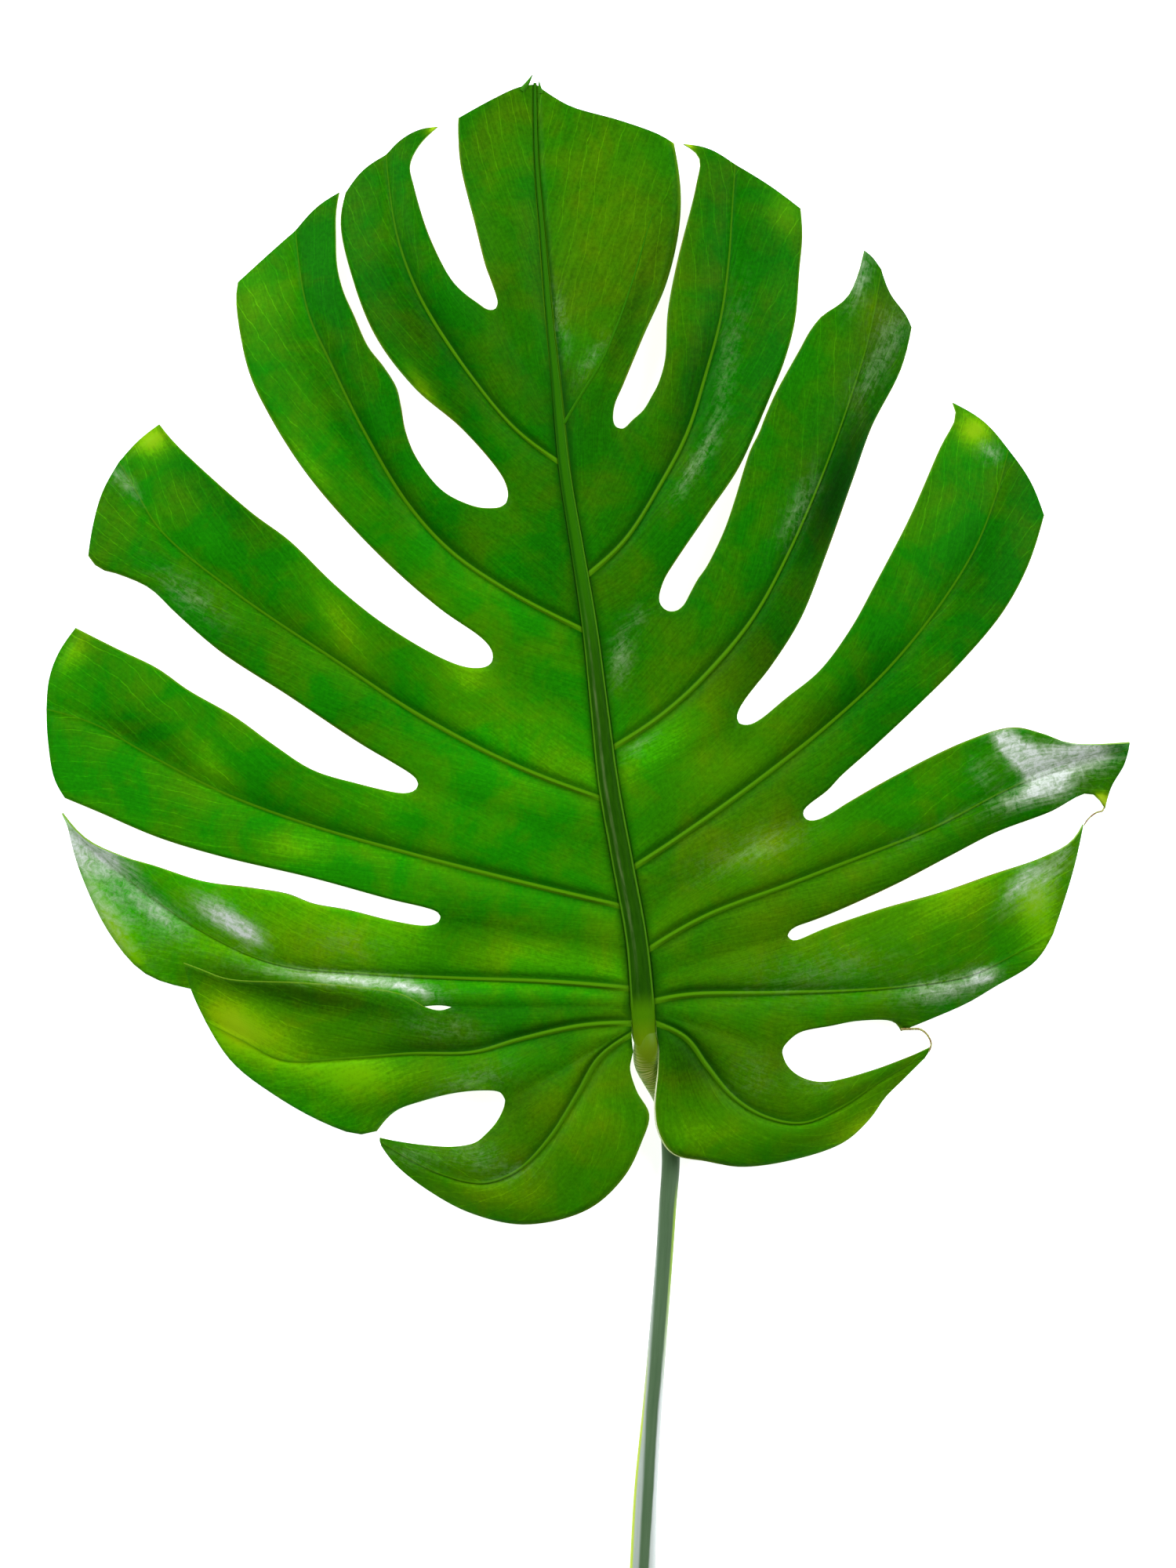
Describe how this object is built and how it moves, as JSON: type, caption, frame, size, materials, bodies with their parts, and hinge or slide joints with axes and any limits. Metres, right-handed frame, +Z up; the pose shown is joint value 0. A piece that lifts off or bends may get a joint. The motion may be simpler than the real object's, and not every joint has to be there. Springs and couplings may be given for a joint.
{
  "type": "monstera leaf",
  "caption": "Cut monstera leaf lying face up: heart-shaped glossy blade, deeply split into curved lobes between its side veins, on a round leaf stalk.",
  "frame": {"origin": "under the middle of the leaf's box, on the surface that it lies on", "axes": "+Z up out of the leaf's upper face, +Y from the stalk towards the leaf's tip, +X to the right seen from above"},
  "size_m": [0.3466, 0.4992, 0.0174],
  "materials": {
    "leaf_blade": "waxy, half gloss, deep green",
    "leaf_stalk": "smooth, satin, grey green"
  },
  "bodies": {
    "root": {"leaf_blade": "leaf_blade", "leaf_stalk": "leaf_stalk"}
  },
  "joints": []
}
